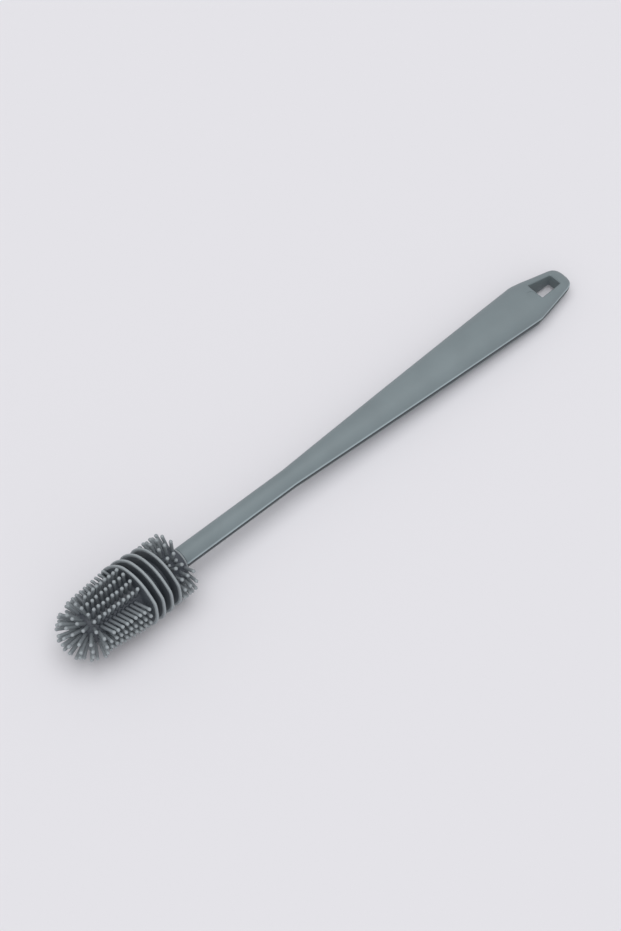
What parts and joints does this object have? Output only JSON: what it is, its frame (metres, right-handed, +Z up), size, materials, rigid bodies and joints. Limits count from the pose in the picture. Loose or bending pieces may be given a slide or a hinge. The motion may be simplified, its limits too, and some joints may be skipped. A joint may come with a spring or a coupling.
{
  "type": "bottle brush",
  "caption": "Long-handled bottle brush with a pull-off silicone head of moulded pins and scraper fins and a soft flared handle ending in a hang hole.",
  "frame": {"origin": "centre of the bottom of the bounding box, on the table the brush lies on", "axes": "+X along the brush from the head to the hang hole, +Z up from the table, +Y across the handle"},
  "size_m": [0.3718, 0.0394, 0.0394],
  "materials": {
    "silicone": "soft matte silicone, grey-green",
    "former_plastic": "matte moulded plastic",
    "core_plastic": "satin moulded plastic"
  },
  "bodies": {
    "handle": {"handle_skin": "silicone", "handle_core": "core_plastic"},
    "head": {"tip_bristles": "silicone", "front_bristles": "silicone", "scraper_fin_1": "silicone", "scraper_fin_2": "silicone", "scraper_fin_3": "silicone", "scraper_fin_4": "silicone", "rear_bristles": "silicone", "head_collar": "silicone", "head_former": "former_plastic"}
  },
  "joints": [
    {"name": "head_pull_off", "type": "slide", "parent": "handle", "child": "head", "axis": [-0.9992, 0, 0.04], "range_m": [0, 0.06]}
  ]
}
